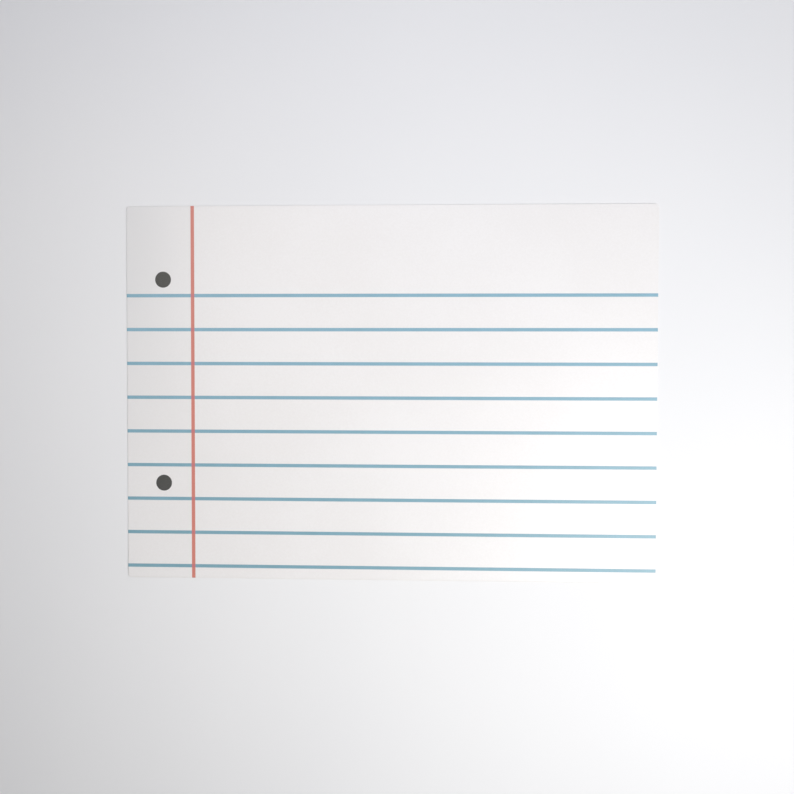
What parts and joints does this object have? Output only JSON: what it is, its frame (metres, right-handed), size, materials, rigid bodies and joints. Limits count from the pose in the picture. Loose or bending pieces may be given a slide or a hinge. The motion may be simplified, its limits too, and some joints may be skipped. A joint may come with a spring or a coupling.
{
  "type": "ruled writing mat",
  "caption": "Thin flexible laminated sheet with rounded corners, printed like loose-leaf paper: blue rules, a red margin line and dark dots where punched holes would be.",
  "frame": {"origin": "centre of the mat's outline, on the plane of its back face, which is what it lies on", "axes": "+X along the rules, away from the margin; +Y towards the plain header; +Z out of the printed face"},
  "size_m": [0.42, 0.297, 0.0006],
  "materials": {
    "face_film": "satin",
    "back_film": "matte",
    "white_card": "matte",
    "adhesive": "satin",
    "blue_ink": "satin",
    "red_ink": "satin",
    "grey_ink": "satin"
  },
  "bodies": {
    "root": {"back_film": "back_film", "back_adhesive": "adhesive", "card_core": "white_card", "face_adhesive": "adhesive", "face_film": "face_film", "rule_1": "blue_ink", "rule_2": "blue_ink", "rule_3": "blue_ink", "rule_4": "blue_ink", "rule_5": "blue_ink", "rule_6": "blue_ink", "rule_7": "blue_ink", "rule_8": "blue_ink", "rule_9": "blue_ink", "margin_line": "red_ink", "hole_dot_upper": "grey_ink", "hole_dot_lower": "grey_ink"}
  },
  "joints": []
}
